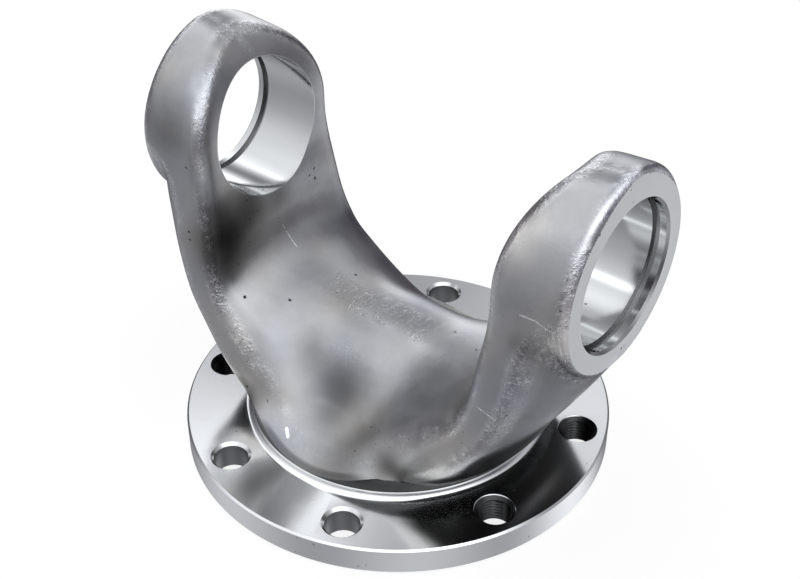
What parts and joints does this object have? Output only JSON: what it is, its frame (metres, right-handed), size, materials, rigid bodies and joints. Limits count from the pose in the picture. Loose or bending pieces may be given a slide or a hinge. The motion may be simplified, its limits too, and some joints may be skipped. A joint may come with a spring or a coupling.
{
  "type": "flange yoke",
  "caption": "Forged steel drive shaft flange yoke: a round bolting flange below and a U-shaped fork above whose two ears carry cross bores with snap ring grooves.",
  "frame": {"origin": "centre of the mounting face of the flange, on the axis of the shaft", "axes": "+Z along the shaft axis from the flange towards the ears, X along the cross bores, Y across the arms"},
  "size_m": [0.202, 0.18, 0.1605],
  "materials": {
    "steel": "forged satin grey with bright turned and bored faces"
  },
  "bodies": {
    "root": {"flange_yoke": "steel"}
  },
  "joints": []
}
